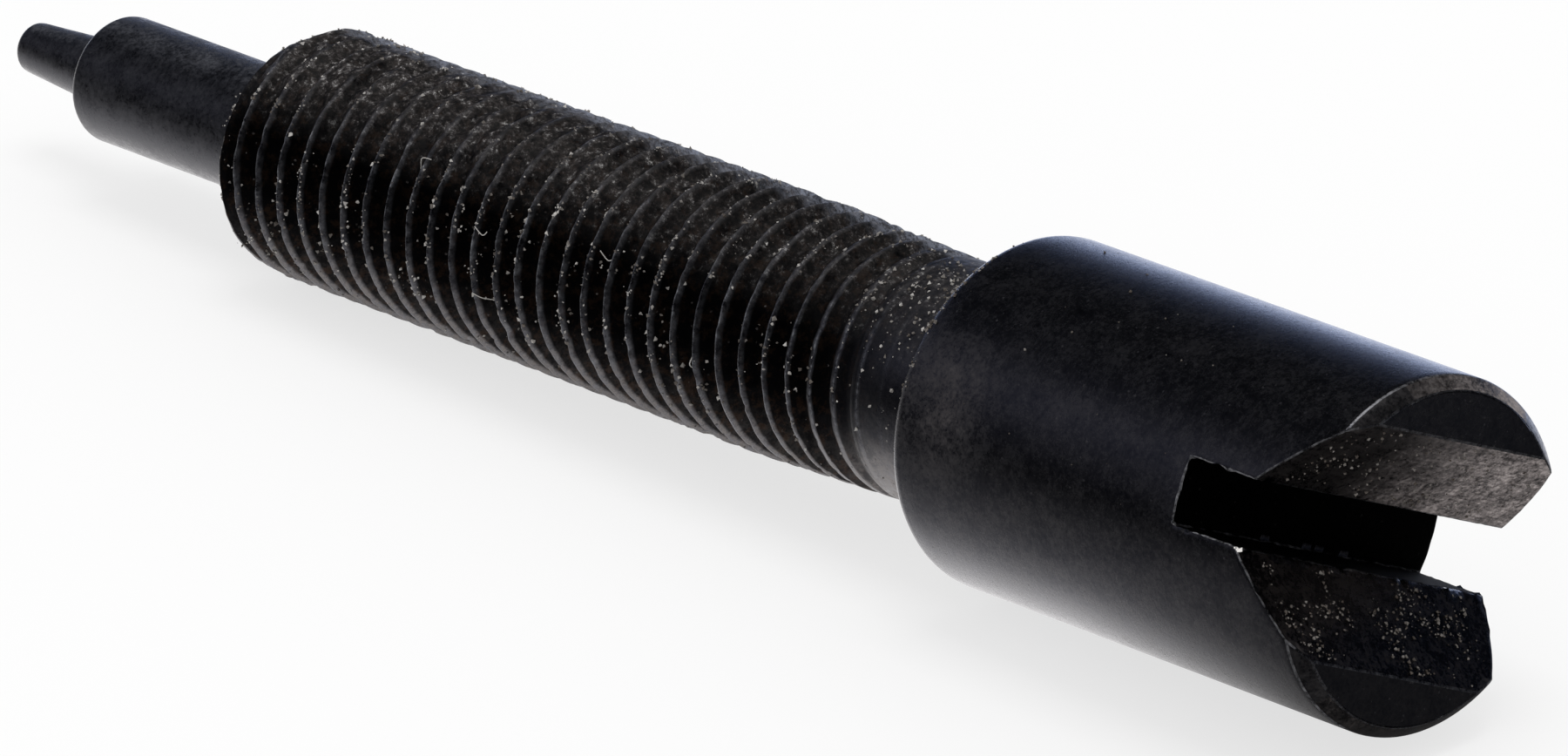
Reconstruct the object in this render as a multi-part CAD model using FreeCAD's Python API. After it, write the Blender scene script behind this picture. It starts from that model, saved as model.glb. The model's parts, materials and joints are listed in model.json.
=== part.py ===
import FreeCAD
import Part
import math
import os

# Slotted adjusting screw with a needle tip, one piece of steel. Millimetres.
# It is drawn upright, from the head's end face at Z = 0 to the needle's tip,
# and then laid down the way it comes to rest on a flat surface.

# Head
head_diameter = 8.0
head_length = 12.8
head_end_chamfer = 0.3
head_back_chamfer = 0.25

# Driver notch across the head's end: a V valley with a slot along its bottom
valley_depth = 2.6
valley_angle = 90.0
slot_width = 1.5
slot_depth_below_valley = 1.2

# Neck and thread, M6 x 0.75 right-hand. Its turns are drawn as ring grooves of its pitch and depth
neck_diameter = 5.55
neck_length = 2.8
runout_length = 4.4
crest_diameter = 5.85
crest_length = 16.7
thread_start_chamfer = 0.6
thread_pitch = 0.75
groove_depth = 0.36
groove_width = 0.6
groove_count = 27

# Pilot shank and needle
shank_diameter = 3.0
shank_length = 6.5
shank_end_chamfer = 0.15
needle_base_diameter = 1.6
needle_tip_diameter = 1.2
needle_length = 3.1
needle_tip_chamfer = 0.12

# The way it lies: the slot's near end turned up about the screw's own axis
slot_roll = 23.5

# Clearance past a surface for a cutter, so that no two faces coincide
cutter_margin = 1.0

# Heights along the screw, from the head's end face
neck_start = head_length
runout_start = neck_start + neck_length
crest_start = runout_start + runout_length
crest_end = crest_start + crest_length
shank_start = crest_end + thread_start_chamfer
needle_start = shank_start + shank_length
screw_length = needle_start + needle_length

head_radius = head_diameter / 2
neck_radius = neck_diameter / 2
crest_radius = crest_diameter / 2
shank_radius = shank_diameter / 2
needle_base_radius = needle_base_diameter / 2
needle_tip_radius = needle_tip_diameter / 2


def at(radius, height):
    return FreeCAD.Vector(radius, 0, height)


def land_radius(height):
    # The run-out rises evenly from the neck to the full crests
    share = (height - runout_start) / (crest_start - runout_start)
    return neck_radius + (crest_radius - neck_radius) * min(max(share, 0), 1)


def ring_groove(height):
    # A V groove down to the thread's root, as wide as its flanks leave it at this height
    edge = land_radius(height)
    root = crest_radius - groove_depth
    half_width = (edge - root) / groove_depth * groove_width / 2
    return [at(edge, height - half_width), at(root, height), at(edge, height + half_width)]


def half_section():
    # The right half of the lengthwise section, as one closed outline on the axis
    corners = [
        at(0, 0),
        at(head_radius - head_end_chamfer, 0),
        at(head_radius, head_end_chamfer),
        at(head_radius, head_length - head_back_chamfer),
        at(head_radius - head_back_chamfer, head_length),
        at(neck_radius, neck_start),
        at(neck_radius, runout_start),
    ]
    last_groove = crest_end - thread_pitch / 2
    for turn in range(groove_count - 1, -1, -1):
        corners += ring_groove(last_groove - turn * thread_pitch)
    corners += [
        at(crest_radius, crest_end),
        at(crest_radius - thread_start_chamfer, shank_start),
        at(shank_radius, shank_start),
        at(shank_radius, needle_start - shank_end_chamfer),
        at(shank_radius - shank_end_chamfer, needle_start),
        at(needle_base_radius, needle_start),
        at(needle_tip_radius, screw_length - needle_tip_chamfer),
        at(needle_tip_radius - needle_tip_chamfer, screw_length),
        at(0, screw_length),
        at(0, 0),
    ]
    return Part.makePolygon(corners)


def turned_blank():
    axis = FreeCAD.Vector(0, 0, 1)
    return Part.Face(half_section()).revolve(FreeCAD.Vector(0, 0, 0), axis, 360)


def driver_notch():
    # The cutter's outline in the XZ plane, run through the head along Y
    slope = math.tan(math.radians(valley_angle / 2))
    mouth = (valley_depth + cutter_margin) * slope
    side = slot_width / 2
    side_height = valley_depth - side / slope
    floor = valley_depth + slot_depth_below_valley
    outline = Part.makePolygon([
        at(-mouth, -cutter_margin),
        at(mouth, -cutter_margin),
        at(side, side_height),
        at(side, floor),
        at(-side, floor),
        at(-side, side_height),
        at(-mouth, -cutter_margin),
    ])
    reach = head_radius + cutter_margin
    outline.translate(FreeCAD.Vector(0, -reach, 0))
    return Part.Face(outline).extrude(FreeCAD.Vector(0, 2 * reach, 0))


def lie_down(screw):
    # It rests on the head's back edge and on the thread's first crest, so its axis droops to the tip
    droop = math.degrees(math.atan2(head_radius - crest_radius,
                                    crest_end - (head_length - head_back_chamfer)))
    origin = FreeCAD.Vector(0, 0, 0)
    screw.rotate(origin, FreeCAD.Vector(0, 0, 1), slot_roll)
    screw.rotate(origin, FreeCAD.Vector(0, 1, 0), -90 - droop)
    box = screw.optimalBoundingBox()
    screw.translate(FreeCAD.Vector(-(box.XMin + box.XMax) / 2, -(box.YMin + box.YMax) / 2, -box.ZMin))
    return screw


adjusting_screw = lie_down(turned_blank().cut(driver_notch()))

os.makedirs("parts", exist_ok=True)
adjusting_screw.exportStep("parts/adjusting_screw.step")
print("length", round(screw_length, 3), "volume", round(adjusting_screw.Volume, 2),
      "valid", adjusting_screw.isValid(), "solids", len(adjusting_screw.Solids))
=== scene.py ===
import json
import random
from math import asin, atan2, ceil, cos, hypot, pi, radians, sin, tan

import bmesh
import bpy
from mathutils import Matrix, Vector, noise


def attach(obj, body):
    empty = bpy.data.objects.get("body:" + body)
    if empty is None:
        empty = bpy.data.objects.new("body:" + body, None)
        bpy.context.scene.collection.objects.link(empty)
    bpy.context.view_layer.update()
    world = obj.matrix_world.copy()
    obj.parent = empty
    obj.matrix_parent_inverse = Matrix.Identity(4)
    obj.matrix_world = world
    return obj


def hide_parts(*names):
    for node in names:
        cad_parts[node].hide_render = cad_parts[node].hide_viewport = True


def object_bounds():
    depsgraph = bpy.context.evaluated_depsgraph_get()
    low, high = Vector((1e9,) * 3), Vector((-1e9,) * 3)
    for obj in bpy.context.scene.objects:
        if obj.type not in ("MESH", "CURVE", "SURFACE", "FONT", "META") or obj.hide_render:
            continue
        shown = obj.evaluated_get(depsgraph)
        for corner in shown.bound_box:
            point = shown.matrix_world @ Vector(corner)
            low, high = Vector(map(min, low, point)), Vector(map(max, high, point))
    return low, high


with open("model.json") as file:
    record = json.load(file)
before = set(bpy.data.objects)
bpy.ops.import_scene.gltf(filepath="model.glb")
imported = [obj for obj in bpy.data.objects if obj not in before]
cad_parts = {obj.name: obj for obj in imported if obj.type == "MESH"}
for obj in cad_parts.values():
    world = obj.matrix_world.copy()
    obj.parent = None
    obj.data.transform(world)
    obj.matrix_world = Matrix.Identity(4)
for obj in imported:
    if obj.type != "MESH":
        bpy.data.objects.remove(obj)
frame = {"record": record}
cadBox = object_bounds()

# The screw is modelled in its own millimetres and then laid where the frame has it. Own z runs from the
# head's end face at 0 to the needle's tip, own y runs along the slot, and own x runs across it.
mm = 0.001
hair, near = 0.001, 0.01  # tolerances in millimetres
mounts = {m["name"]: m for m in frame["record"]["mounts"]}
headRadius = mounts["head_guide"]["dims"]["r_mm"]
shankRadius = mounts["pilot_shank"]["dims"]["r_mm"]

# Sizes in millimetres that the mounts don't hold
screw = {
    "endChamfer": 0.3,
    "valleyDepth": 2.6,
    "slotHalf": 0.75,
    "slotFloor": 3.8,
    "headLength": 12.8,
    "backRound": 0.35,
    "neckFillet": 0.15,
    "neckRadius": 2.775,
    "neckLength": 2.8,
    "runoutLength": 4.4,
    "crestRadius": 2.925,
    "crestLength": 16.7,
    "startChamfer": 0.6,
    "shankLength": 6.5,
    "shankRound": 0.2,
    "shankFillet": 0.1,
    "needleBase": 0.8,
    "needleTip": 0.6,
    "needleLength": 3.1,
    "needleRound": 0.15,
}
crestRadius = screw["crestRadius"]
neckEnd = screw["headLength"] + screw["neckLength"]
crestStart = neckEnd + screw["runoutLength"]
crestEnd = crestStart + screw["crestLength"]
shankStart = crestEnd + screw["startChamfer"]
needleStart = shankStart + screw["shankLength"]
screwLength = needleStart + screw["needleLength"]


def ownFrame():
    axis = Vector(mounts["pilot_shank"]["axis"]).normalized()
    slotFloor = Vector(mounts["driver_notch"]["pos_m"])
    across = Vector(mounts["under_head"]["pos_m"]) - slotFloor
    across = (across - axis * across.dot(axis)).normalized()
    along = axis.cross(across)
    origin = slotFloor - axis * screw["slotFloor"] * mm
    turn = Matrix((across, along, axis)).transposed().to_4x4()
    return Matrix.Translation(origin) @ turn @ Matrix.Scale(mm, 4)


ownToWorld = ownFrame()
worldToOwn = ownToWorld.to_3x3().inverted()
skyward = (worldToOwn @ Vector((0, 0, 1))).normalized()
backward = (worldToOwn @ Vector((0, 1, 0))).normalized()


def smooth(low, high, value):
    t = min(max((value - low) / (high - low), 0.0), 1.0)
    return t * t * (3 - 2 * t)


def between(start, end, steps):
    return [start + (end - start) * i / steps for i in range(steps + 1)]


def addObject(name, data):
    made = bpy.data.objects.new(name, data)
    bpy.context.scene.collection.objects.link(made)
    return made


print("stage: frame read, screw", round(screwLength, 2), "mm long")

# Screw: one skin with the notch, the helical thread and the needle. Columns lie side by side round it, and steps
# are rows of faces along it.
grid = {
    "slotColumns": 5,
    "flankColumns": 13,
    "chamferColumns": 5,
    "endColumns": 24,
    "alongSteps": 60,
    "wallSteps": 16,
    "headSteps": 20,
    "backSteps": 4,
    "roundSteps": 5,
    "filletSteps": 3,
    "neckSteps": 12,
    "shankSteps": 14,
    "needleSteps": 8,
    "tipSteps": 4,
    "needleCorner": 0.04,
    "weld": 0.0004,
}
endRadius = headRadius - screw["endChamfer"]


def quarterAngles():
    # One quarter turn from the slot's direction, with a column at each corner of the notch
    slotCorner = asin(screw["slotHalf"] / headRadius)
    chamferCorner = asin((screw["valleyDepth"] - screw["endChamfer"]) / headRadius)
    endCorner = asin(screw["valleyDepth"] / endRadius)
    angles = between(0, slotCorner, grid["slotColumns"])
    angles += between(slotCorner, chamferCorner, grid["flankColumns"])[1:]
    angles += between(chamferCorner, endCorner, grid["chamferColumns"])[1:]
    angles += between(endCorner, pi / 2, grid["endColumns"])[1:]
    return angles


quarter = quarterAngles()
quarterSteps = len(quarter) - 1
columnAngle = quarter + [pi - t for t in quarter[-2::-1]]
columnAngle += [t + pi for t in columnAngle[1:-1]]
columnCount = len(columnAngle)
slotColumn = grid["slotColumns"]

points = []
faces = []


def vertex(x, y, z):
    points.append((x, y, z))
    return len(points) - 1


def sheet(rows, closed=False):
    for upper, lower in zip(rows, rows[1:]):
        for i in range(len(upper) if closed else len(upper) - 1):
            j = (i + 1) % len(upper)
            corners = list(dict.fromkeys((upper[i], upper[j], lower[j], lower[i])))
            if len(corners) > 2:
                faces.append(corners)


def around(radius, angle, z):
    # A place off the axis, its angle counted from the slot's direction
    return radius * sin(angle), radius * cos(angle), z


def ring(radius, z):
    return [vertex(*around(radius, t, z)) for t in columnAngle]


def jawTop(angle):
    # Where the wall of a jaw starts: on the valley's flank, on the chamfer or at the end face
    share = abs(sin(angle))
    if headRadius * share <= screw["valleyDepth"] - screw["endChamfer"]:
        return headRadius, screw["valleyDepth"] - headRadius * share
    if endRadius * share < screw["valleyDepth"]:
        z = (screw["valleyDepth"] - endRadius * share) / (1 + share)
        return endRadius + z, z
    return endRadius, 0.0


def jawColumn(angle):
    # The chamfer's stretch first and then the cylinder, down to the slot's floor
    radius, top = jawTop(angle)
    edge = max(top, screw["endChamfer"])
    stations = [(radius + (headRadius - radius) * s, top + (edge - top) * s) for s in (0, 0.5, 1)]
    stations += [(headRadius, z) for z in between(edge, screw["slotFloor"], grid["wallSteps"])[1:]]
    return [vertex(*around(r, angle, z)) for r, z in stations]


def rung(start, end):
    # A line of points along the slot from one side of the head to the other
    a, b = Vector(points[start]), Vector(points[end])
    inner = [vertex(*a.lerp(b, i / grid["alongSteps"])) for i in range(1, grid["alongSteps"])]
    return [start] + inner + [end]


def mirrored(column):
    return (2 * quarterSteps - column) % columnCount


def headEnd():
    # Returns the ring of points at the level of the slot's floor
    jawColumns = {}
    for i, angle in enumerate(columnAngle):
        if abs(headRadius * sin(angle)) > screw["slotHalf"] - hair:
            jawColumns[i] = jawColumn(angle)
    floorRing = ring(headRadius, screw["slotFloor"])
    for i, column in jawColumns.items():
        floorRing[i] = column[-1]
    for first in (slotColumn, 2 * quarterSteps + slotColumn):
        jaw = range(first, first + 2 * (quarterSteps - slotColumn) + 1)
        sheet([jawColumns[i] for i in jaw])
        side = [first + k for k in range(quarterSteps - slotColumn + 1)]
        tops = [rung(jawColumns[i][0], jawColumns[mirrored(i)][0]) for i in side[:-1]]
        tops.append([jawColumns[side[-1]][0]] * (grid["alongSteps"] + 1))
        sheet(tops)
        wall = [tops[0]] + [rung(a, b) for a, b in
                            zip(jawColumns[first][1:-1], jawColumns[mirrored(first)][1:-1])]
        wall.append(rung(floorRing[first], floorRing[mirrored(first)]))
        sheet(wall)
    half = slotColumn
    across = [(columnCount - half + k) % columnCount for k in range(2 * half + 1)]
    sheet([rung(floorRing[i], floorRing[mirrored(i)]) for i in across])
    return floorRing


def addRound(rows, start, end, centre, steps):
    # Rows of points on a quarter round, from one (radius, z) to another
    first = atan2(start[1] - centre[1], start[0] - centre[0])
    last = atan2(end[1] - centre[1], end[0] - centre[0])
    size = hypot(start[0] - centre[0], start[1] - centre[1])
    for t in between(first, last, steps)[1:]:
        rows.append(ring(centre[0] + size * cos(t), centre[1] + size * sin(t)))


print("stage: grid of", columnCount, "columns")

# Thread: M6 x 0.75, right-hand, 60 degree flanks. A row is one line of the profile, wound along the helix.
thread = {
    "pitch": 0.75,
    "phase": -0.53,
    "depth": 0.4,
    "flankAngle": 30,
    "crestHalf": 0.022,
    "crestRound": 0.012,
    "firstCut": 13.5,
    "fullCut": 17.2,
    "lastFade": 0.3,
    "rows": (-0.375, -0.285, -0.2, -0.1, -0.022, 0.0, 0.022, 0.1, 0.2, 0.285),
    "wobble": 0.034,
    "wobbleScale": 3.1,
    "nick": 0.12,
    "nicks": ((2.3, 0.28, (0, 0, 0)), (6.1, 0.4, (9, 4, 2))),
    "packed": 0.95,
    "packedMost": 0.96,
    "packedUp": (0.35, 0.95),
    "packedAlong": (21, 31),
    "packedHeadSide": 0.3,
    "packedEnd": 0.4,
    "packedBelow": 0.01,
    "packedNoise": (0.85, 0.8, 1.7),
    "markStart": (0.2, 3.4),
    "markEnd": 0.6,
    "crestMark": (0.044, 0.0),
    "grooveMark": (0.022, 0.09),
}


def threadRadius(offset):
    away = max(abs(offset) - thread["crestHalf"], 0.0)
    cut = min(away / tan(radians(thread["flankAngle"])), thread["depth"])
    rounding = thread["crestRound"] if abs(offset) >= thread["crestHalf"] else 0.0
    return crestRadius - max(cut, rounding)


def landRadius(z):
    share = min(max((z - neckEnd) / (crestStart - neckEnd), 0.0), 1.0)
    rise = screw["neckRadius"] + (crestRadius - screw["neckRadius"]) * share
    return min(rise, crestRadius - (z - crestEnd)) if z > crestEnd else rise


def cutRadius(z, offset):
    # The profile comes out of the steel along the run-out, until it has gone into the neck
    lift = thread["depth"] * (1 - smooth(thread["firstCut"], thread["fullCut"], z))
    return min(threadRadius(offset) + lift, landRadius(z))


def crestHeight(turn, angle):
    low = thread["firstCut"] - thread["rows"][0] + thread["phase"]
    return low + thread["pitch"] * (turn - angle / (2 * pi))


def crestOffset(angle, z):
    # How far a place on an even thread lies from the nearest crest, along the screw
    turn = (z - crestHeight(0, angle)) / thread["pitch"]
    return (turn - round(turn)) * thread["pitch"]


def noisePlace(angle, z):
    return Vector(around(3, angle, z))


def unevenShare(z):
    # The thread is even at both of its ends, where it joins its neighbours
    last = shankStart - thread["lastFade"]
    return smooth(thread["firstCut"], thread["fullCut"], z) * smooth(shankStart, last, z)


def wobble(angle, z):
    swing = noise.noise(noisePlace(angle, z) * thread["wobbleScale"] + Vector((3, 8, 5)))
    return thread["wobble"] * swing * unevenShare(z)


def upward(angle):
    # 1 where the skin looks straight up, -1 where it looks straight down
    return sin(angle) * skyward.x + cos(angle) * skyward.y


def packing(angle, z):
    # The grooves hold dust on top, and more of it towards the tip
    least = thread["packedHeadSide"]
    along = least + (1 - least) * smooth(*thread["packedAlong"], z)
    along *= smooth(shankStart, crestEnd - thread["packedEnd"], z)
    return thread["packed"] * smooth(*thread["packedUp"], upward(angle)) * along


def threadPoint(angle, z, offset):
    radius = cutRadius(z, offset)
    place = noisePlace(angle, z)
    middle, swing, scale = thread["packedNoise"]
    full = min(packing(angle, z) * (middle + swing * noise.noise(place * scale)), thread["packedMost"])
    radius += (landRadius(z) - thread["packedBelow"] - radius) * full
    onCrest = smooth(thread["depth"], 0.0, crestRadius - threadRadius(offset))
    dent = 0.0
    for size, low, shift in thread["nicks"]:
        dent += max(noise.noise(place * size + Vector(shift)) - low, 0.0)
    radius -= thread["nick"] * dent * onCrest * unevenShare(z)
    z += wobble(angle, z)
    return vertex(*around(radius, angle, z))


def threadSkin():
    # The rows are cut off at the two ends of the threaded stretch
    perTurn = len(thread["rows"])
    start = thread["firstCut"]
    turns = ceil((shankStart - start) / thread["pitch"]) + 2
    rows = []
    for g in range(turns * perTurn + 1):
        offset = thread["rows"][g % perTurn]
        row = []
        for angle in columnAngle:
            z = crestHeight(g // perTurn, angle) + offset
            row.append(threadPoint(angle, min(max(z, start), shankStart), offset))
        rows.append(row)
    for g in range(len(rows) - 1):
        sheet([rows[g], rows[g + 1]])
        # The seam joins a row's end to the row that lies one turn before it
        last, back = rows[g], rows[max(g - perTurn, 0)]
        lastNext, backNext = rows[g + 1], rows[max(g + 1 - perTurn, 0)]
        faces.append(list(dict.fromkeys((last[-1], back[0], backNext[0], lastNext[-1]))))


def headAndNeck():
    back, neck, fillet = screw["headLength"], screw["neckRadius"], screw["neckFillet"]
    corner, inner = back - screw["backRound"], headRadius - screw["backRound"]
    rows = [headEnd()]
    rows += [ring(headRadius, z) for z in between(screw["slotFloor"], corner, grid["headSteps"])[1:]]
    addRound(rows, (headRadius, corner), (inner, back), (inner, corner), grid["roundSteps"])
    wide, begin = neck + fillet, back + fillet
    rows += [ring(r, back) for r in between(inner, wide, grid["backSteps"])[1:]]
    addRound(rows, (wide, back), (neck, begin), (wide, begin), grid["filletSteps"])
    rows += [ring(neck, z) for z in between(begin, thread["firstCut"], grid["neckSteps"])[1:]]
    sheet(rows, closed=True)


def shankAndNeedle():
    fillet, edge = screw["shankFillet"], needleStart - screw["shankRound"]
    rim = shankRadius - screw["shankRound"]
    wide, begin = shankRadius + fillet, shankStart + fillet
    rows = [ring(crestRadius - screw["startChamfer"], shankStart), ring(wide, shankStart)]
    addRound(rows, (wide, shankStart), (shankRadius, begin), (wide, begin), grid["filletSteps"])
    rows += [ring(shankRadius, z) for z in between(begin, edge, grid["shankSteps"])[1:]]
    addRound(rows, (shankRadius, edge), (rim, needleStart), (rim, edge), grid["roundSteps"])
    base, tip, corner = screw["needleBase"], screw["needleTip"], grid["needleCorner"]
    rows += [ring(base + corner, needleStart), ring(base, needleStart + corner)]
    tipEdge, face = screwLength - screw["needleRound"], tip - screw["needleRound"]
    for share in between(0, 1, grid["needleSteps"])[1:]:
        rows.append(ring(base + (tip - base) * share, needleStart + (tipEdge - needleStart) * share))
    addRound(rows, (tip, tipEdge), (face, screwLength), (face, tipEdge), grid["tipSteps"])
    rows.append(ring(face / 2, screwLength))
    rows.append([vertex(0, 0, screwLength)] * columnCount)
    sheet(rows, closed=True)


def buildMesh():
    bm = bmesh.new()
    made = [bm.verts.new(p) for p in points]
    for corners in faces:
        bm.faces.new([made[i] for i in corners])
    bmesh.ops.remove_doubles(bm, verts=bm.verts, dist=grid["weld"])
    bmesh.ops.dissolve_degenerate(bm, edges=bm.edges, dist=grid["weld"])
    loose = [v for v in bm.verts if not v.link_faces]
    bmesh.ops.delete(bm, geom=loose, context="VERTS")
    bmesh.ops.recalc_face_normals(bm, faces=bm.faces)
    return bm


headAndNeck()
threadSkin()
shankAndNeedle()
screwMesh = buildMesh()
print("stage: skin of", len(screwMesh.faces), "faces, open edges",
      sum(not e.is_manifold for e in screwMesh.edges))


# The milling left the notch's edges a little ragged, and a burr along the slot's lower near edge
notchEdge = {
    "sharpFrom": 22,
    "width": 0.035,
    "ragged": 0.03,
    "raggedScale": 5.3,
    "calm": 0.35,
    "calmFrom": -3.4,
    "cleanRim": 0.25,
    "reach": 0.02,
    "burr": 0.056,
    "burrScale": 3.1,
    "burrShare": 0.35,
    "outerBand": 0.12,
    "slotBand": 0.9,
    "rimWear": 0.75,
    "innerWear": 0.3,
    "slope": 0.707,
    "slopeSlack": 0.08,
    "facing": (-0.8, -0.6),
}


def isNotchEdge(edge):
    if not edge.is_manifold or max(v.co.z for v in edge.verts) > screw["slotFloor"] + near:
        return False
    return edge.calc_face_angle() > radians(notchEdge["sharpFrom"])


def roughenEdges(edges):
    reach = notchEdge["reach"]
    for v in {v for e in edges for v in e.verts}:
        x, y, z = v.co
        off = hypot(x, y)
        if z < reach or off > headRadius - notchEdge["cleanRim"] and z < screw["endChamfer"] + reach:
            continue
        spot = v.co * notchEdge["raggedScale"]
        shake = Vector([noise.noise(spot + Vector((k * 7, 1, 3))) for k in range(3)])
        calm = notchEdge["calm"] if x > 0 and y > notchEdge["calmFrom"] else 1.0
        v.co += shake * notchEdge["ragged"] * calm
        nearCorner = abs(abs(x) - screw["slotHalf"]) < reach and abs(off - headRadius) < reach
        if nearCorner and x < 0 and y < 0:
            lump = max(noise.noise(Vector((z * notchEdge["burrScale"], 4, 6))) + notchEdge["burrShare"], 0.0)
            v.co.x += notchEdge["burr"] * lump
        over = hypot(v.co.x, v.co.y) / (headRadius - hair)
        if over > 1:
            v.co.x, v.co.y = v.co.x / over, v.co.y / over


def finishEdges(bm):
    edges = [e for e in bm.edges if isNotchEdge(e)]
    roughenEdges(edges)
    rim = bm.faces.layers.float.new("rim")
    made = bmesh.ops.bevel(bm, geom=edges, offset=notchEdge["width"], offset_type="OFFSET", segments=2,
                           profile=0.5, affect="EDGES", clamp_overlap=False)
    for face in made["faces"]:
        x, y, _ = face.calc_center_median()
        outer = hypot(x, y) > headRadius - notchEdge["outerBand"]
        face[rim] = notchEdge["rimWear"] if outer else notchEdge["innerWear"]
        if outer and abs(x) < notchEdge["slotBand"]:
            face[rim] = 1.0


def markFaces(bm):
    # The milled flanks and the band round the end face differ from the turned skin, and the inside of the slot is
    # marked for painted shade
    flank = bm.faces.layers.float.new("flank")
    pit = bm.faces.layers.float.new("pit")
    band = bm.faces.layers.float.new("band")
    low, high = notchEdge["facing"]
    for face in bm.faces:
        x, y, z = face.calc_center_median()
        inside = hypot(x, y) < headRadius - near / 2 and z < screw["slotFloor"] + near
        sloping = abs(abs(face.normal.x) - notchEdge["slope"]) < notchEdge["slopeSlack"]
        if inside and abs(x) < screw["slotHalf"] + near:
            face[pit] = 1.0
        if inside and face.normal.z < high and sloping:
            face[flank] = 1.0 if x > 0 else 0.5  # the upper one is the whole, the lower one a half
        if z < screw["endChamfer"] and low < face.normal.z < high and hypot(x, y) > endRadius:
            face[band] = 1.0


def markPoints(bm):
    # The painted highlight on the crest lines and the painted shade in the grooves go by the distance from the
    # helix, and are faint along the run-out
    place = bm.verts.layers.float_vector.new("place")
    crest = bm.verts.layers.float.new("crest")
    groove = bm.verts.layers.float.new("groove")
    start, full = [thread["firstCut"] + step for step in thread["markStart"]]
    for v in bm.verts:
        v[place] = v.co
        x, y, z = v.co
        angle = atan2(x, y) % (2 * pi)
        away = abs(crestOffset(angle, z - wobble(angle, z)))
        threaded = smooth(start, full, z) * smooth(crestEnd + thread["markEnd"], crestEnd, z)
        v[crest] = threaded * smooth(*thread["crestMark"], away)
        v[groove] = threaded * smooth(*thread["grooveMark"], away)


finishEdges(screwMesh)
markFaces(screwMesh)
markPoints(screwMesh)
for face in screwMesh.faces:
    face.smooth = True
screwMesh.transform(ownToWorld)
screwData = bpy.data.meshes.new("screwBody")
screwMesh.to_mesh(screwData)
screwMesh.free()
screwBody = addObject("screwBody", screwData)
crisp = screwBody.modifiers.new("crispShading", "WEIGHTED_NORMAL")
crisp.keep_sharp = True
crisp.weight = 60
print("stage: screw mesh placed,", len(screwData.polygons), "faces")

# Noise textures: scale per millimetre, detail, roughness and, where it is drawn out, the stretch
noises = {
    "fine": (8.0, 5.0, 0.85),
    "coarse": (1.6, 5.0, 0.7),
    "turned": (1.0, 3.0, 0.6, (0.4, 0.4, 22.0)),
    "cloud": (2.2, 6.0, 0.75),
    "scatter": (3.1, 3.0, 0.7),
    "shades": (4.6, 6.0, 0.85),
    "rubbed": (4.6, 5.0, 0.8),
    "dirt": (3.7, 4.0, 0.75),
    "uneven": (2.6, 4.0, 0.8),
    "broken": (4.2, 5.0, 0.85),
    "streaks": (1.0, 3.0, 0.7, (13.0, 1.3, 13.0)),
}
grainShares = {"Tone": 0.62, "Height": 0.7}  # the fine noise's share in both
dustCells = 5.5  # per millimetre
# Masks: where each one rises or falls, and from what to what where it isn't from 0 to 1
spans = {
    "facing": (0.5, 0.95),
    "cloud": (0.3, 0.5),
    "cell": (0.2, 0.12),
    "scatter": (0.52, 0.6),
    "rubbed": (0.38, 0.64),
    "threadStart": (12.7, 13.6),
    "threadEnd": (38.5, 36.0),
    "tipwards": (20.0, 33.0, 0.6, 0.95),
    "film": (0, 1, 0.04, 1.0),
    "specks": (0, 1, 0.3, 1.0),
    "mottle": (0.34, 0.68),
    "dirt": (0.5, 0.62),
    "shank": (shankStart, shankStart + 0.2),
    "edgeStart": (needleStart - 0.3, needleStart - 0.1),
    "edgeEnd": (needleStart + 0.3, needleStart + 0.1),
    "shankDark": (0, 1, 0.62, 0.92),
    "milled": (0.1, 0.4),
    "upper": (0.6, 0.9),
    "farEnd": (-1.8, 1.8, 0.16, 1.0),
    "patchy": (0.4, 0.6, 0.2, 1.0),
    "streaks": (0.38, 0.6, 0.75, 1.0),
    "blotch": (0.48, 0.62, 0.0, 0.4),
    "smudge": (2.0, 0.2, 0.0, 0.5),
    "uneven": (0.4, 0.6, 0.4, 1.0),
    "crestTop": (0.55, 0.9, 1.0, 0.3),
    "broken": (0.44, 0.57, 0.25, 1.0),
    "backward": (0.12, 0.46),
    "high": (0.68, 0.86),
    "belly": (-0.1, -0.75, 0.0, 0.9),
    "ridge": (0.2, 0.9, 1.0, 0.16),
    "onTop": (0.8, 1.0, 0.25, 0.75),
    "behindFace": (0.1, 0.4),
    "grime": (0.46, 0.66, 0.0, 0.09),
    "rough": (0.3, 0.75, 0.19, 0.31),
    "looseGrain": (0.35, 0.65, 0.0, 0.4),
}


def addNode(tree, kind, **settings):
    made = tree.nodes.new(kind)
    for name, value in settings.items():
        if name in made.inputs:
            made.inputs[name].default_value = value
        else:
            setattr(made, name, value)
    return made


def newMaterial(name, kind, **settings):
    # A material with its shader and its output
    material = bpy.data.materials.new(name)
    material.use_nodes = True
    tree = material.node_tree
    tree.nodes.clear()
    shader = addNode(tree, kind, **settings)
    tree.links.new(shader.outputs[0], addNode(tree, "ShaderNodeOutputMaterial").inputs["Surface"])
    return material, tree, shader


def shaderGroup(name, inputs, outputs):
    # Place is a vector, Colour is a colour, and every other socket a value
    tree = bpy.data.node_groups.new(name, "ShaderNodeTree")
    kinds = {"Place": "NodeSocketVector", "Colour": "NodeSocketColor"}
    for way, labels in (("INPUT", inputs), ("OUTPUT", outputs)):
        for label in labels:
            tree.interface.new_socket(label, in_out=way, socket_type=kinds.get(label, "NodeSocketFloat"))
    return tree, tree.nodes.new("NodeGroupInput").outputs, tree.nodes.new("NodeGroupOutput").inputs


def remap(tree, source, low, high, toLow=0.0, toHigh=1.0):
    made = tree.nodes.new("ShaderNodeMapRange")
    for name, value in (("From Min", low), ("From Max", high), ("To Min", toLow), ("To Max", toHigh)):
        made.inputs[name].default_value = value
    tree.links.new(source, made.inputs["Value"])
    return made.outputs["Result"]


def ranged(tree, source, name):
    return remap(tree, source, *spans[name])


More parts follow.
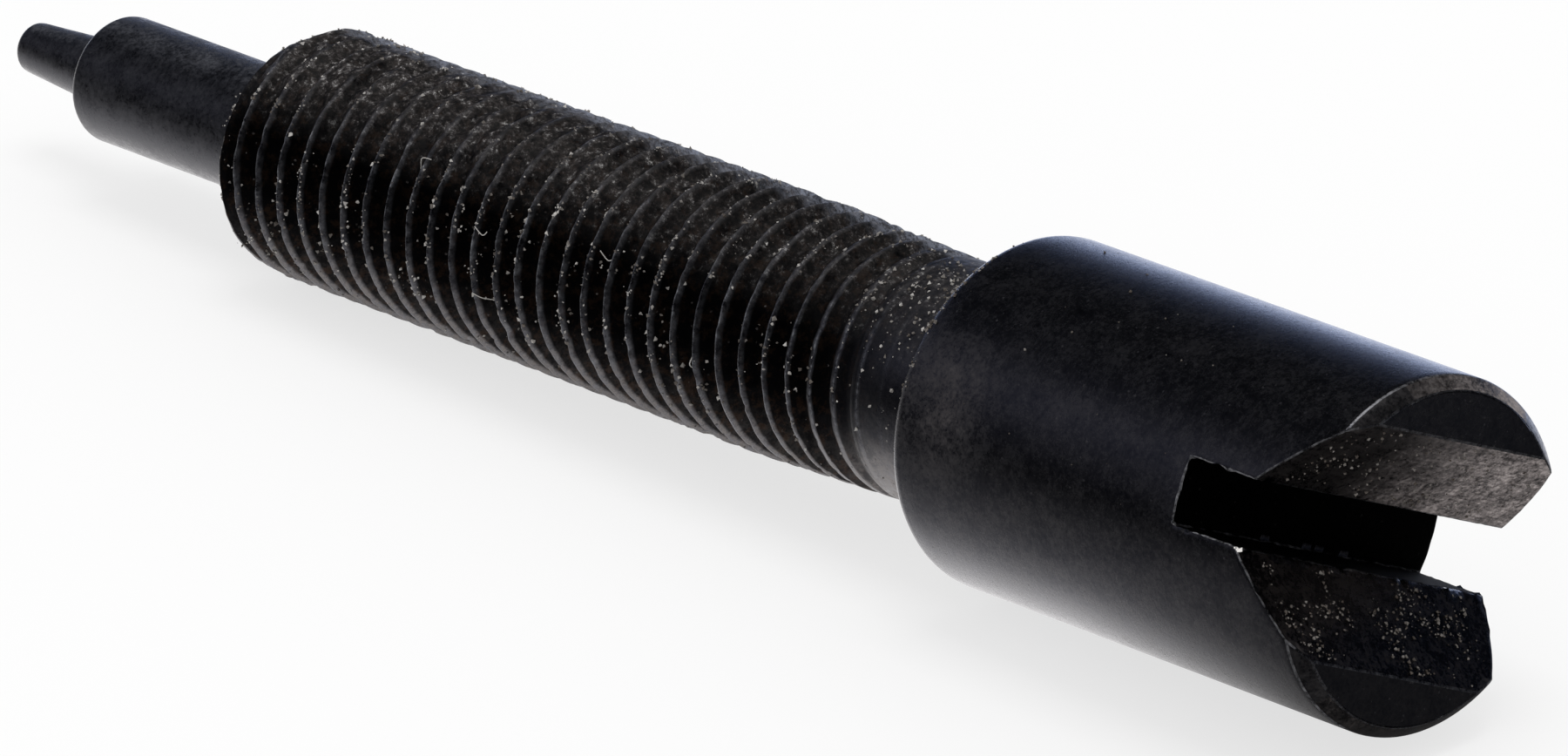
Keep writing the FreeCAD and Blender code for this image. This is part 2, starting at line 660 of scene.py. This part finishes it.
def combine(tree, operation, a, b):
    made = tree.nodes.new("ShaderNodeMath")
    made.operation = operation
    made.use_clamp = operation in ("ADD", "MULTIPLY")
    for socket, value in zip(made.inputs, (a, b)):
        if isinstance(value, (int, float)):
            socket.default_value = value
        else:
            tree.links.new(value, socket)
    return made.outputs[0]


def times(tree, first, *others):
    for other in others:
        first = combine(tree, "MULTIPLY", first, other)
    return first


def shared(tree, a, b, share):
    return combine(tree, "ADD", times(tree, a, share), times(tree, b, 1 - share))


def vectorMath(tree, operation, source, other=None):
    made = addNode(tree, "ShaderNodeVectorMath", operation=operation)
    tree.links.new(source, made.inputs[0])
    if other is not None:
        made.inputs[1].default_value = other
    return made.outputs["Value" if operation in ("DOT_PRODUCT", "DISTANCE") else "Vector"]


def parts(tree, place):
    made = addNode(tree, "ShaderNodeSeparateXYZ")
    tree.links.new(place, made.inputs[0])
    return made.outputs


def texture(tree, place, name):
    scale, detail, roughness, *stretch = noises[name]
    made = addNode(tree, "ShaderNodeTexNoise", Scale=scale, Detail=detail, Roughness=roughness)
    if stretch:
        mapping = addNode(tree, "ShaderNodeMapping", Scale=stretch[0])
        tree.links.new(place, mapping.inputs["Vector"])
        place = mapping.outputs["Vector"]
    tree.links.new(place, made.inputs["Vector"])
    return made.outputs[0]


def noisy(tree, place, name):
    return ranged(tree, texture(tree, place, name), name)


def mixColour(tree, factor, a, b):
    made = tree.nodes.new("ShaderNodeMix")
    made.data_type = "RGBA"
    for socket, value in ((made.inputs[0], factor), (made.inputs[6], a), (made.inputs[7], b)):
        if isinstance(value, (int, float, tuple)):
            socket.default_value = value
        else:
            tree.links.new(value, socket)
    return made.outputs[2]


def grainGroup():
    # Fine satin grain, with soft mottling of the oxide
    tree, into, out = shaderGroup("satinGrain", ["Place"], ["Tone", "Height"])
    fine, coarse, turned = [texture(tree, into["Place"], name) for name in ("fine", "coarse", "turned")]
    tree.links.new(shared(tree, fine, coarse, grainShares["Tone"]), out["Tone"])
    tree.links.new(shared(tree, fine, turned, grainShares["Height"]), out["Height"])
    return tree


# The dust's shades against its noise: both ends, and then what lies between them
dustShades = (
    (0.43, (0.003, 0.0025, 0.0025, 1)),
    (0.67, (0.55, 0.54, 0.53, 1)),
    (0.495, (0.018, 0.0125, 0.0105, 1)),
    (0.545, (0.038, 0.031, 0.03, 1)),
    (0.6, (0.12, 0.112, 0.11, 1)),
)


def dustGroup():
    # Grey-brown dust: a thin film that lies on what faces up, and small specks anywhere
    tree, into, out = shaderGroup("dust", ["Place", "Up", "Film", "Specks"],
                                  ["Film Mask", "Speck Mask", "Colour"])
    link = tree.links.new
    placed = into["Place"]
    film = times(tree, noisy(tree, placed, "cloud"), ranged(tree, into["Up"], "facing"), into["Film"])
    cell = addNode(tree, "ShaderNodeTexVoronoi", Scale=dustCells)
    link(placed, cell.inputs["Vector"])
    dot = ranged(tree, cell.outputs["Distance"], "cell")
    dots = times(tree, dot, noisy(tree, placed, "scatter"), into["Specks"])
    ramp = tree.nodes.new("ShaderNodeValToRGB")
    for element, ends in zip(ramp.color_ramp.elements, dustShades[:2]):
        element.position, element.color = ends
    for spot, shade in dustShades[2:]:
        ramp.color_ramp.elements.new(spot).color = shade
    link(texture(tree, placed, "shades"), ramp.inputs["Fac"])
    link(film, out["Film Mask"])
    link(dots, out["Speck Mask"])
    link(ramp.outputs["Color"], out["Colour"])
    return tree


def wearAndSheenGroup():
    # Bare metal where an edge was rubbed or burred. Along the thread's crests the same mask carries a painted
    # highlight
    tree, into, out = shaderGroup("edgeWear", ["Place", "Rim"], ["Mask"])
    tree.links.new(times(tree, into["Rim"], noisy(tree, into["Place"], "rubbed")), out["Mask"])
    return tree


steel = {
    "oxide": (0.021, 0.023, 0.033, 1),
    "oxideLight": (0.088, 0.086, 0.092, 1),
    "bare": (0.32, 0.32, 0.34, 1),
    # Pale grey for the crest lines: worn crests with painted highlight
    "crestDust": (0.27, 0.28, 0.31, 1),
    # Painted reflections on the thread: the backdrop's, bluish, on the far side, and the floor's, brownish, on
    # the belly
    "backDust": (0.2, 0.22, 0.28, 1),
    "bellyDust": (0.25, 0.225, 0.21, 1),
    # Brown dirt within the grooves' painted shade
    "grooveDirt": (0.034, 0.021, 0.015, 1),
    "grime": (0.05, 0.046, 0.05, 1),
    "shankDust": (0.075, 0.08, 0.1, 1),
    "flankDust": (0.54, 0.475, 0.46, 1),
    "flankOxide": (0.012, 0.011, 0.012, 1),
    "blotch": (0.05, 0.034, 0.026, 1),
    "bandDust": (0.07, 0.062, 0.062, 1),
    # A brownish painted highlight on the head near its back edge
    "smudge": (0.085, 0.07, 0.065, 1),
    # Near black: the painted shade in the grooves and on the shank, and the darker band round the end face
    "groove": (0.007, 0.007, 0.008, 1),
    # Near black for the painted shade inside the slot
    "pit": (0.001, 0.001, 0.001, 1),
    "smudgePlace": (-0.1, -4.0, 11.3),
    "milledShare": 0.85,
    "bandShare": 0.6,
    "bandDustShare": 0.4,
    "rubbedShare": 0.5,
    "dullShare": 0.5,
    "grain": 0.35,
    "grainDepth": 0.00002,
}


def steelMaterial():
    material, tree, surface = newMaterial("blackenedSteel", "ShaderNodeBsdfPrincipled")
    link = tree.links.new
    placed = addNode(tree, "ShaderNodeAttribute", attribute_name="place").outputs["Vector"]
    rim, flank, pit, band, crest, groove = [
        addNode(tree, "ShaderNodeAttribute", attribute_name=name).outputs["Fac"]
        for name in ("rim", "flank", "pit", "band", "crest", "groove")]
    grain = addNode(tree, "ShaderNodeGroup", node_tree=grainGroup())
    dust = addNode(tree, "ShaderNodeGroup", node_tree=dustGroup())
    wear = addNode(tree, "ShaderNodeGroup", node_tree=wearAndSheenGroup())
    crestLine = addNode(tree, "ShaderNodeGroup", node_tree=wear.node_tree)
    for group in (grain, dust, wear, crestLine):
        link(placed, group.inputs["Place"])
    link(rim, wear.inputs["Rim"])
    link(crest, crestLine.inputs["Rim"])
    tone = grain.outputs["Tone"]
    _, alongSlot, alongScrew = parts(tree, placed)
    # How far a place looks up and away from the camera's side, by its direction off the axis
    outward = vectorMath(tree, "NORMALIZE", vectorMath(tree, "MULTIPLY", placed, (1, 1, 0)))
    up = vectorMath(tree, "DOT_PRODUCT", outward, skyward)
    away = vectorMath(tree, "DOT_PRODUCT", outward, backward)
    link(up, dust.inputs["Up"])
    inThread = times(tree, ranged(tree, alongScrew, "threadStart"), ranged(tree, alongScrew, "threadEnd"))
    filmed = times(tree, inThread, ranged(tree, alongScrew, "tipwards"))
    link(ranged(tree, filmed, "film"), dust.inputs["Film"])
    link(ranged(tree, inThread, "specks"), dust.inputs["Specks"])
    # Painted shade makes the grooves and the inside of the slot near black and darkens the shank, most of all on
    # its end's rounding. The milled flanks and the band round the end face are darker, and the oxide is gone on
    # rubbed edges
    colour = mixColour(tree, ranged(tree, tone, "mottle"), steel["oxide"], steel["oxideLight"])
    # Painted shade: the grooves go near black, with brown dirt in patches
    grooveShade = mixColour(tree, noisy(tree, placed, "dirt"), steel["groove"], steel["grooveDirt"])
    # Painted shade: the shank goes darker, most of all on the rounding at its end
    onShank = ranged(tree, alongScrew, "shank")
    shankEdge = times(tree, ranged(tree, alongScrew, "edgeStart"), ranged(tree, alongScrew, "edgeEnd"))
    paintedShankShade = times(tree, onShank, ranged(tree, shankEdge, "shankDark"))
    milled = ranged(tree, flank, "milled")
    coatsAndShade = (
        (groove, grooveShade),
        (paintedShankShade, steel["groove"]),
        (times(tree, milled, steel["milledShare"]), steel["flankOxide"]),
        (times(tree, band, steel["bandShare"]), steel["groove"]),
        # Painted shade: near black inside the slot
        (pit, steel["pit"]),
        (wear.outputs["Mask"], steel["bare"]),
    )
    for amount, shade in coatsAndShade:
        colour = mixColour(tree, amount, colour, shade)
    # Dried coolant greys the upper flank, most of all at its far end, and the band round the end face
    upper = ranged(tree, flank, "upper")
    patchy = ranged(tree, tone, "patchy")
    coolant = times(tree, upper, ranged(tree, alongSlot, "farEnd"), patchy, noisy(tree, placed, "streaks"))
    blotch = times(tree, combine(tree, "SUBTRACT", milled, upper), ranged(tree, tone, "blotch"))
    banded = times(tree, band, steel["bandDustShare"], patchy)
    # Painted highlight: a lighter brownish patch on the head near its back edge
    fromBrownHighlight = vectorMath(tree, "DISTANCE", placed, steel["smudgePlace"])
    smudge = times(tree, ranged(tree, fromBrownHighlight, "smudge"), patchy)
    # Painted highlight along the crest lines, on partly worn crests, broken up and fainter on top
    crestDust = times(tree, crestLine.outputs["Mask"], noisy(tree, placed, "uneven"), ranged(tree, up, "crestTop"))
    # Thin films and painted reflections: a bluish painted reflection of the backdrop high on the thread's far
    # side, a brownish painted reflection of the floor on its belly, and grey dust on top of the shank
    broken = noisy(tree, placed, "broken")
    back = times(tree, ranged(tree, away, "backward"), ranged(tree, up, "high"), inThread, broken)
    belly = times(tree, ranged(tree, up, "belly"), inThread, ranged(tree, groove, "ridge"), broken)
    onTop = times(tree, ranged(tree, up, "onTop"), onShank, patchy)
    # Fine grime dulls the turned skin in specks
    plain = combine(tree, "SUBTRACT", combine(tree, "SUBTRACT", 1.0, inThread), milled)
    plain = times(tree, plain, ranged(tree, alongScrew, "behindFace"))
    grime = times(tree, ranged(tree, tone, "grime"), plain)
    rubbed = times(tree, wear.outputs["Mask"], steel["rubbedShare"])
    filmsAndPaintedLight = (
        (grime, "grime"), (belly, "bellyDust"), (crestDust, "crestDust"),
        (onTop, "shankDust"), (coolant, "flankDust"), (blotch, "blotch"),
        (banded, "bandDust"), (smudge, "smudge"), (rubbed, "bare"),
    )
    for amount, shade in filmsAndPaintedLight:
        colour = mixColour(tree, amount, colour, steel[shade])
    # Dust and painted light together make the steel less metallic and rougher
    dustAndSheen = combine(tree, "ADD", dust.outputs["Film Mask"], dust.outputs["Speck Mask"])
    colour = mixColour(tree, dustAndSheen, colour, dust.outputs["Colour"])
    # The far side's painted reflection goes over the dust
    colour = mixColour(tree, back, colour, steel["backDust"])
    dustAndSheen = combine(tree, "ADD", dustAndSheen, back)
    for amount, _ in filmsAndPaintedLight:
        dustAndSheen = combine(tree, "ADD", dustAndSheen, amount)
    link(colour, surface.inputs["Base Color"])
    link(combine(tree, "SUBTRACT", 1.0, dustAndSheen), surface.inputs["Metallic"])
    matt = combine(tree, "MAXIMUM", groove, pit)
    dull = times(tree, combine(tree, "MAXIMUM", dustAndSheen, matt), steel["dullShare"])
    link(combine(tree, "ADD", ranged(tree, tone, "rough"), dull), surface.inputs["Roughness"])
    bump = addNode(tree, "ShaderNodeBump", Strength=steel["grain"], Distance=steel["grainDepth"])
    link(grain.outputs["Height"], bump.inputs["Height"])
    link(bump.outputs["Normal"], surface.inputs["Normal"])
    return material


screwData.materials.append(steelMaterial())
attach(screwBody, "root")
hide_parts("adjusting_screw")
print("stage: blackened steel")

# Dust: loose bits in the thread and on the flanks of the notch, a few fibres, and pale lumps that paint the
# burr's glint as a painted highlight.
# Sizes are in millimetres, turns round the screw in degrees, and a pair is a range or a middle and its spread.
bits = {
    "seed": 7,
    "clumps": 800,
    "thread": 14000,
    "neck": 500,
    "corner": 420,
    "top": 300,
    "flanks": 1500,
    "head": 90,
    "size": (0.012, 0.07),
    "sizePower": 1.8,
    "shrunk": {"head": 0.85, "flanks": 0.85},
    "grey": (0.03, 0.6),
    "greyPower": 1.6,
    "dimmed": {"head": 0.36, "flanks": 0.36, "corner": 0.6},
    "turns": (6.28, 3.14),
    "lumpy": (0.5, 1.3),
    "clusters": {"thread": (0.9, -0.02), "corner": (1.7, 0.0), "neck": (1.3, 0.0), "flanks": (1.1, -0.05)},
    "strays": 0.25,
    "sunk": 0.018,
    "clearance": 0.1,
    "onCrests": 0.4,
    "crestSpread": 0.05,
    "tipwards": 0.75,
    "notBelow": (-0.75, -0.3),
    "cornerTurn": (158, 20),
    "cornerRound": (0.1, 1.5),
    "neckGap": 0.3,
    "neckSpread": 0.8,
    "topAlong": (12.9, 16.4),
    "topTurn": (138, 20),
    "topSunk": 0.008,
    "flankMargin": 0.1,
    "flankAlong": 3.2,
    "flankRim": 0.25,
    "headFrom": 4.2,
    "headMargin": 0.5,
    "headNotBelow": -0.2,
    # Pale lumps that paint the burr's glint
    "burrPlace": (-0.78, 0.12, 1.86),
    "burrDrops": (0.0, 0.06, 0.12),
    "burrSize": 0.075,
    "clumpReach": (0.03, 0.09),
    "clumpBits": (3, 9),
    "clumpSize": (0.015, 0.042),
    "clumpShade": (0.5, 1.2),
    "clumpFlat": 0.8,
    "roughness": 0.9,
    "dark": (0.03, 0.024, 0.02, 1),
    "pale": (0.95, 0.93, 0.9, 1),
    "brown": (0.16, 0.12, 0.09, 1),
}
lumpWays = ((1, 0, 0), (0, 1, 0), (-1, 0, 0), (0, -1, 0), (0, 0, 1), (0, 0, -1))
chance = random.Random(bits["seed"])


def skinRadius(z, angle):
    # The radius of the finished skin behind the notch
    if z < screw["headLength"]:
        return headRadius
    if z < thread["firstCut"]:
        return screw["neckRadius"]
    return cutRadius(z, crestOffset(angle, z))


def onSkin(z, angle, lift=0.0):
    return Vector(around(skinRadius(z, angle) + lift, angle, z))


def clustered(spot, kind):
    scale, low = bits["clusters"][kind]
    return noise.noise(spot * scale) + chance.uniform(-bits["strays"], bits["strays"]) > low


def threadSpot():
    # Much of it is caught on the crests, more of it lies towards the tip, and little of it underneath
    angle = chance.uniform(0, 2 * pi)
    if upward(angle) < chance.uniform(*bits["notBelow"]):
        return None
    last = shankStart - thread["lastFade"]
    z = neckEnd + (last - neckEnd) * chance.random() ** bits["tipwards"]
    if chance.random() < bits["onCrests"]:
        turn = round((z - crestHeight(0, angle)) / thread["pitch"])
        z = min(crestHeight(turn, angle) + chance.gauss(0, bits["crestSpread"]), last)
    return onSkin(z, angle, -bits["sunk"]) if clustered(onSkin(z, angle), "thread") else None


def cornerSpot():
    # A broken row of it on the head's round back edge
    angle, turn = radians(chance.gauss(*bits["cornerTurn"])), chance.uniform(*bits["cornerRound"])
    size = screw["backRound"]
    radius = headRadius - size + size * cos(turn)
    z = screw["headLength"] - size + size * sin(turn)
    spot = Vector(around(radius, angle, z))
    return spot if clustered(spot, "corner") else None


def neckSpot():
    # Most of it sits close behind the head
    z = screw["headLength"] + bits["neckGap"] + abs(chance.gauss(0, bits["neckSpread"]))
    angle = chance.uniform(0, 2 * pi)
    return onSkin(z, angle) if clustered(onSkin(z, angle), "neck") else None


def neckTopSpot():
    # Dust that fell on the neck's upper side
    z = chance.uniform(*bits["topAlong"])
    return onSkin(z, radians(chance.gauss(*bits["topTurn"])), -bits["topSunk"])


def flankSpot():
    # The lower flank holds twice as much as the upper one
    side = chance.choice((1, -1, -1))
    margin = bits["flankMargin"]
    across = chance.uniform(screw["slotHalf"] + margin, screw["valleyDepth"] - margin)
    along = chance.uniform(-bits["flankAlong"], bits["flankAlong"])
    spot = Vector((side * across, along, screw["valleyDepth"] - across))
    inside = spot.xy.length < headRadius - bits["flankRim"]
    return spot if inside and clustered(spot, "flanks") else None


def headSpot():
    angle = chance.uniform(0, 2 * pi)
    if upward(angle) <= bits["headNotBelow"]:
        return None
    return onSkin(chance.uniform(bits["headFrom"], screw["headLength"] - bits["headMargin"]), angle)


def addBit(bm, spot, size, grey):
    # An irregular little lump of eight faces
    tone = bm.verts.layers.float["grey"]
    spin, tilt = bits["turns"]
    turn = Matrix.Rotation(chance.uniform(0, spin), 3, "Z") @ Matrix.Rotation(chance.uniform(0, tilt), 3, "X")
    corners = []
    for way in lumpWays:
        corners.append(bm.verts.new(spot + turn @ Vector(way) * (size * chance.uniform(*bits["lumpy"]))))
    for v in corners:
        v[tone] = grey
    for i in range(4):
        j = (i + 1) % 4
        bm.faces.new((corners[i], corners[j], corners[4]))
        bm.faces.new((corners[j], corners[i], corners[5]))


def withinBox(spot):
    placed = ownToWorld @ spot
    room = bits["clearance"] * mm
    return all(low + room < c < high - room for low, c, high in zip(cadBox[0], placed, cadBox[1]))


def mixed(ends, share):
    return ends[0] + (ends[1] - ends[0]) * share


def addClump(bm):
    # A flat heap of bits of one shade
    centre, reach = threadSpot(), chance.uniform(*bits["clumpReach"])
    if not centre or not withinBox(centre):
        return
    grey = chance.uniform(*bits["grey"])
    outward = Vector((centre.x, centre.y, 0)).normalized()
    for _ in range(chance.randint(*bits["clumpBits"])):
        spread = Vector([chance.gauss(0, reach) for _ in range(3)])
        spread -= outward * spread.dot(outward) * bits["clumpFlat"]
        size = chance.uniform(*bits["clumpSize"])
        addBit(bm, centre + spread, size, grey * chance.uniform(*bits["clumpShade"]))


def buildBits():
    bm = bmesh.new()
    bm.verts.layers.float.new("grey")
    # Pale lumps paint the burr's glint at the near corner of the slot and the valley: a painted highlight
    x, inward, z = bits["burrPlace"]
    for drop in bits["burrDrops"]:
        addBit(bm, Vector((x, inward - headRadius, z - drop)), bits["burrSize"], 1.0)
    for _ in range(bits["clumps"]):
        addClump(bm)
    picks = {"thread": threadSpot, "neck": neckSpot, "corner": cornerSpot, "top": neckTopSpot,
             "flanks": flankSpot, "head": headSpot}
    for kind, pick in picks.items():
        for _ in range(bits[kind]):
            spot = pick()
            if spot and withinBox(spot):
                size = mixed(bits["size"], chance.random() ** bits["sizePower"])
                grey = mixed(bits["grey"], chance.random() ** bits["greyPower"])
                addBit(bm, spot, size * bits["shrunk"].get(kind, 1.0), grey * bits["dimmed"].get(kind, 1.0))
    return bm


# Each fibre runs through points on the skin: along the screw, round it in degrees and off the skin
fibres = {
    "radius": 0.011,
    "sides": 6,
    "steps": 5,
    "grey": 0.55,
    "notAlong": (0.3, 0.5, 0.81),
    "routes": (
        ((30.75, 168, 0.02), (30.55, 165, 0.12), (30.3, 161, 0.1), (30.1, 159, 0.02)),
        ((27.9, -149, 0.02), (27.75, -146, 0.1), (27.5, -143, 0.06), (27.3, -140, 0.12), (27.05, -138, 0.02)),
        ((27.95, -179, 0.03), (27.8, -176, 0.12), (27.75, -178, 0.14)),
        ((33.6, -150, 0.02), (33.3, -147, 0.1), (33.25, -143, 0.04)),
        ((24.1, 172, 0.03), (23.9, 175, 0.11), (23.6, 174, 0.03)),
        ((20.6, -158, 0.02), (20.4, -155, 0.1), (20.5, -151, 0.03)),
    ),
}


def addTube(bm, spots, radius):
    tone = bm.verts.layers.float["grey"]
    rings = []
    for i, spot in enumerate(spots):
        way = (spots[min(i + 1, len(spots) - 1)] - spots[max(i - 1, 0)]).normalized()
        side = way.cross(Vector(fibres["notAlong"])).normalized()
        other = way.cross(side)
        made = []
        for k in range(fibres["sides"]):
            t = 2 * pi * k / fibres["sides"]
            v = bm.verts.new(spot + (side * cos(t) + other * sin(t)) * radius)
            v[tone] = fibres["grey"]
            made.append(v)
        rings.append(made)
    for a, b in zip(rings, rings[1:]):
        for k in range(fibres["sides"]):
            n = (k + 1) % fibres["sides"]
            bm.faces.new((a[k], a[n], b[n], b[k]))
    bm.faces.new(rings[0][::-1])
    bm.faces.new(rings[-1])


def curvedRoute(route):
    # A smooth line through the route's points
    knots = [onSkin(z, radians(turn), lift) for z, turn, lift in route]
    spots = []
    for i in range(len(knots) - 1):
        before, a, b, after = knots[max(i - 1, 0)], knots[i], knots[i + 1], knots[min(i + 2, len(knots) - 1)]
        for s in range(fibres["steps"]):
            t = s / fibres["steps"]
            spots.append(0.5 * (2 * a + (b - before) * t + (2 * before - 5 * a + 4 * b - after) * t ** 2
                                + (3 * a - before - 3 * b + after) * t ** 3))
    return spots + [knots[-1]]


def buildFibres():
    bm = bmesh.new()
    bm.verts.layers.float.new("grey")
    for route in fibres["routes"]:
        addTube(bm, curvedRoute(route), fibres["radius"])
    return bm


def dustAndGlintMaterial():
    material, tree, surface = newMaterial("looseDust", "ShaderNodeBsdfPrincipled", Roughness=bits["roughness"])
    link = tree.links.new
    grey = addNode(tree, "ShaderNodeAttribute", attribute_name="grey")
    place = addNode(tree, "ShaderNodeTexCoord")
    grain = addNode(tree, "ShaderNodeGroup", node_tree=bpy.data.node_groups["satinGrain"])
    scaled = addNode(tree, "ShaderNodeVectorMath", operation="SCALE")
    scaled.inputs["Scale"].default_value = 1 / mm
    link(place.outputs["Object"], scaled.inputs[0])
    link(scaled.outputs["Vector"], grain.inputs["Place"])
    shade = mixColour(tree, grey.outputs["Fac"], bits["dark"], bits["pale"])
    shade = mixColour(tree, ranged(tree, grain.outputs["Tone"], "looseGrain"), shade, bits["brown"])
    link(shade, surface.inputs["Base Color"])
    return material


def placePiece(name, bm, material):
    bm.transform(ownToWorld)
    data = bpy.data.meshes.new(name)
    bm.to_mesh(data)
    bm.free()
    data.materials.append(material)
    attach(addObject(name, data), "root")


looseDust = dustAndGlintMaterial()
placePiece("dustBits", buildBits(), looseDust)
placePiece("lintFibres", buildFibres(), looseDust)
print("stage: loose dust and fibres")

# Camera: at the photo's angle, kept level, far away with a long lens
view = {
    "azimuth": 48.489,
    "elevation": 22.557,
    "distance": 0.38,
    "aim": (0.0018523, 0.0007402, 0.0018418),
    "lens": 393.4,
    "sensor": 36,
    "clip": (0.01, 10),
}


def placeCamera():
    turn, lift = radians(view["azimuth"]), radians(view["elevation"])
    back = Vector((sin(turn) * cos(lift), -cos(turn) * cos(lift), sin(lift)))
    data = bpy.data.cameras.new("camera")
    data.lens = view["lens"]
    data.sensor_width = view["sensor"]
    data.clip_start, data.clip_end = view["clip"]
    camera = addObject("camera", data)
    camera.location = Vector(view["aim"]) + back * view["distance"]
    camera.rotation_mode = "QUATERNION"
    camera.rotation_quaternion = (-back).to_track_quat("-Z", "Y")
    bpy.context.scene.camera = camera


placeCamera()
# Level, square to the screw, on the camera's side
cameraSide = Vector((0, -1, 0))

# Floor: a pale sheet that stays white, with a soft shadow. What the steel mirrors of it dims towards the camera,
# and past the screw's head, as under a studio's dark cards. Each stop is (millimetres, strength).
floor = {
    "half": 0.6,
    "white": 0.7,
    "frontStops": ((0, 1.5), (3.2, 1.45), (4.6, 0.85), (6.5, 0.5), (10.5, 0.27), (26, 0.04), (60, 0.0)),
    "headStops": ((14, 1.0), (22, 0.07)),
    "reach": 60,
    "paper": (0.92, 0.92, 0.92, 1),
    "tintFrom": (-0.06, -0.008),
    "farTint": (0.78, 0.92, 1.3, 1),
    "nearTint": (1.0, 0.98, 0.985, 1),
}


def stopRamp(tree, source, stops):
    # Distance in metres to a strength, which may pass 1
    made = tree.nodes.new("ShaderNodeValToRGB")
    ramp = made.color_ramp
    most = max(value for _, value in stops)
    while len(ramp.elements) < len(stops):
        ramp.elements.new(0.5)
    for element, (spot, value) in zip(ramp.elements, stops):
        element.position = spot / floor["reach"]
        element.color = (value / most, value / most, value / most, 1)
    tree.links.new(remap(tree, source, 0, floor["reach"] * mm), made.inputs["Fac"])
    scale = addNode(tree, "ShaderNodeMath", operation="MULTIPLY")
    scale.inputs[1].default_value = most
    tree.links.new(made.outputs["Color"], scale.inputs[0])
    return scale.outputs[0]


def mirrorRays(tree, path):
    return combine(tree, "MAXIMUM", path.outputs["Is Glossy Ray"], path.outputs["Is Transmission Ray"])


def mixValue(tree, factor, a, b):
    made = addNode(tree, "ShaderNodeMix", data_type="FLOAT")
    tree.links.new(factor, made.inputs[0])
    tree.links.new(b, made.inputs[3])
    if isinstance(a, float):
        made.inputs[2].default_value = a
    else:
        tree.links.new(a, made.inputs[2])
    return made.outputs[0]


def floorMaterial():
    material, tree, blend = newMaterial("paleFloor", "ShaderNodeMixShader")
    link = tree.links.new
    paper = addNode(tree, "ShaderNodeBsdfDiffuse", Color=floor["paper"])
    glow = addNode(tree, "ShaderNodeEmission")
    path = addNode(tree, "ShaderNodeLightPath")
    place = addNode(tree, "ShaderNodeTexCoord").outputs["Object"]
    reach = vectorMath(tree, "DOT_PRODUCT", place, cameraSide)
    dim = addNode(tree, "ShaderNodeMath", operation="MULTIPLY")
    link(stopRamp(tree, reach, floor["frontStops"]), dim.inputs[0])
    link(stopRamp(tree, parts(tree, place)["X"], floor["headStops"]), dim.inputs[1])
    mirrorRay = mirrorRays(tree, path)
    link(mixValue(tree, mirrorRay, 1.0, dim.outputs[0]), glow.inputs["Strength"])
    tint = mixColour(tree, remap(tree, reach, *floor["tintFrom"]), floor["farTint"], floor["nearTint"])
    link(mixColour(tree, mirrorRay, (1, 1, 1, 1), tint), glow.inputs["Color"])
    seen = times(tree, path.outputs["Is Camera Ray"], floor["white"])
    link(combine(tree, "MAXIMUM", seen, mirrorRay), blend.inputs[0])
    link(paper.outputs[0], blend.inputs[1])
    link(glow.outputs[0], blend.inputs[2])
    return material


def buildFloor():
    data = bpy.data.meshes.new("floor")
    half = floor["half"]
    corners = [(-half, -half, 0), (half, -half, 0), (half, half, 0), (-half, half, 0)]
    data.from_pydata(corners, [], [(0, 1, 2, 3)])
    data.materials.append(floorMaterial())
    addObject("floor", data)


buildFloor()

# World: a white backdrop that fades with height, bluish behind, and dark overhead as in a plain studio. The steel
# mirrors a dimmer panel on the camera's side, and next to nothing past the screw's head.
sky = {
    "fade": (0.0, 0.72, 1.0, 0.0),
    "power": 4.1,
    "strength": 0.8,
    "behind": (0.62, 0.78, 1.3, 1),
    "front": (0.96, 0.965, 1.12, 1),
    "turn": (-0.3, 0.3, 1.0, 0.0),
    "frontRise": (0.14, 0.36, 0.1, 0.36),
    "frontFall": (0.62, 0.46),
    "fill": 0.8,
    "headSide": (-0.4, 0.15, 1.0, 0.05),
}


def buildWorld():
    world = bpy.data.worlds.new("studio")
    bpy.context.scene.world = world
    world.use_nodes = True
    tree = world.node_tree
    tree.nodes.clear()
    link = tree.links.new
    direction = addNode(tree, "ShaderNodeTexCoord").outputs["Generated"]
    alongFloor, _, height = parts(tree, direction)
    fade = combine(tree, "POWER", remap(tree, height, *sky["fade"]), sky["power"])
    fade = times(tree, fade, sky["strength"])
    panel = times(tree, remap(tree, height, *sky["frontRise"]), remap(tree, height, *sky["frontFall"]))
    front = remap(tree, vectorMath(tree, "DOT_PRODUCT", direction, -cameraSide), *sky["turn"])
    headSide = remap(tree, alongFloor, *sky["headSide"])
    mirrored = times(tree, mixValue(tree, front, fade, panel), headSide)
    path = addNode(tree, "ShaderNodeLightPath")
    mirrorRay = mirrorRays(tree, path)
    strength = mixValue(tree, mirrorRay, sky["fill"], mirrored)
    tint = mixColour(tree, front, sky["behind"], sky["front"])
    background = addNode(tree, "ShaderNodeBackground")
    output = addNode(tree, "ShaderNodeOutputWorld")
    link(mixColour(tree, mirrorRay, (1, 1, 1, 1), tint), background.inputs["Color"])
    seen = combine(tree, "MAXIMUM", strength, path.outputs["Is Camera Ray"])
    link(seen, background.inputs["Strength"])
    link(background.outputs[0], output.inputs["Surface"])


buildWorld()

# Lamp: one soft panel right overhead, where the round sides don't mirror it
lamp = {
    "place": (0.0, 0.0, 0.6),
    "size": 0.3,
    "watts": 1.0,
}


def addLamp():
    data = bpy.data.lights.new("top", "AREA")
    data.shape = "RECTANGLE"
    data.size = data.size_y = lamp["size"]
    data.energy = lamp["watts"]
    made = addObject("top", data)
    made.location = lamp["place"]
    made.rotation_mode = "QUATERNION"
    made.rotation_quaternion = (-made.location).to_track_quat("-Z", "Y")


addLamp()

bpy.context.scene.view_settings.view_transform = "Standard"
print("stage: camera, floor, world and lamp")
